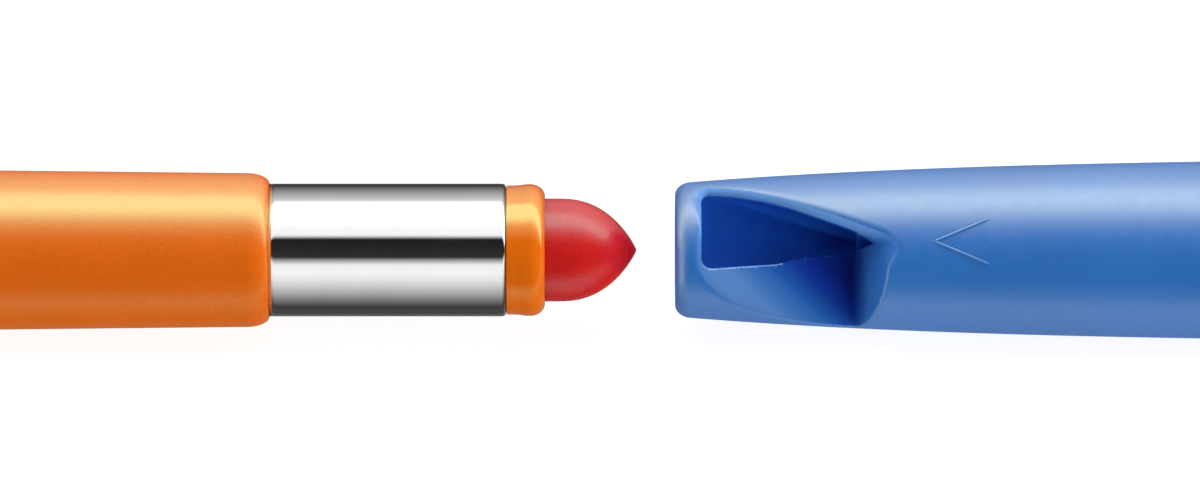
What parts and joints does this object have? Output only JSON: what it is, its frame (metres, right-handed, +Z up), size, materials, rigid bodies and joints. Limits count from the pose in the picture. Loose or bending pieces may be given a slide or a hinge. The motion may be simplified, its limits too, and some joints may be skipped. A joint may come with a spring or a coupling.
{
  "type": "gel marker",
  "caption": "Twist-up gel marker lying apart in line: a barrel with bright collar and pointed gel stick, and a pull-off cap with a sharpener in its end.",
  "frame": {"origin": "on the marker's axis, at the barrel shoulder where the cap seats", "axes": "+X along the axis out of the gel point, +Z up, sharpener window on the -Y side"},
  "size_m": [0.171, 0.014, 0.014],
  "materials": {
    "barrel_orange": "satin with a fine pearl sparkle",
    "collar_chrome": "mirror bright",
    "nozzle_orange": "gloss",
    "gel_red": "waxy satin",
    "inner_white": "plain moulded",
    "rubber_black": "matt",
    "plug_red": "satin",
    "cap_blue": "satin",
    "liner_slate": "plain moulded"
  },
  "bodies": {
    "barrel": {"barrel": "barrel_orange", "front_collar": "collar_chrome", "nozzle_tube": "nozzle_orange", "sleeve_bush": "inner_white", "rear_bush": "inner_white"},
    "knob": {"drive_sleeve": "inner_white", "friction_ring": "rubber_black", "twist_knob": "barrel_orange", "end_plug": "plug_red"},
    "gel": {"gel_stick": "gel_red", "gel_cup": "inner_white", "plunger_rod": "inner_white"},
    "cap": {"cap_shell": "cap_blue", "cap_liner": "liner_slate"}
  },
  "joints": [
    {"name": "knob_turn", "type": "hinge", "parent": "barrel", "child": "knob", "pos_m": [-0.0785, 0, 0], "axis": [1, 0, 0], "range_deg": [-2520, 90]},
    {"name": "gel_feed", "type": "slide", "parent": "barrel", "child": "gel", "axis": [1, 0, 0], "range_m": [-0.02801, 0.00101]},
    {"name": "cap_slide", "type": "slide", "parent": "barrel", "child": "cap", "axis": [1, 0, 0], "range_m": [-0.0097, 0.03]}
  ],
  "couplings": [
    {"joint": "gel_feed", "follows": "knob_turn", "m_per_rad": 0.00063662}
  ]
}
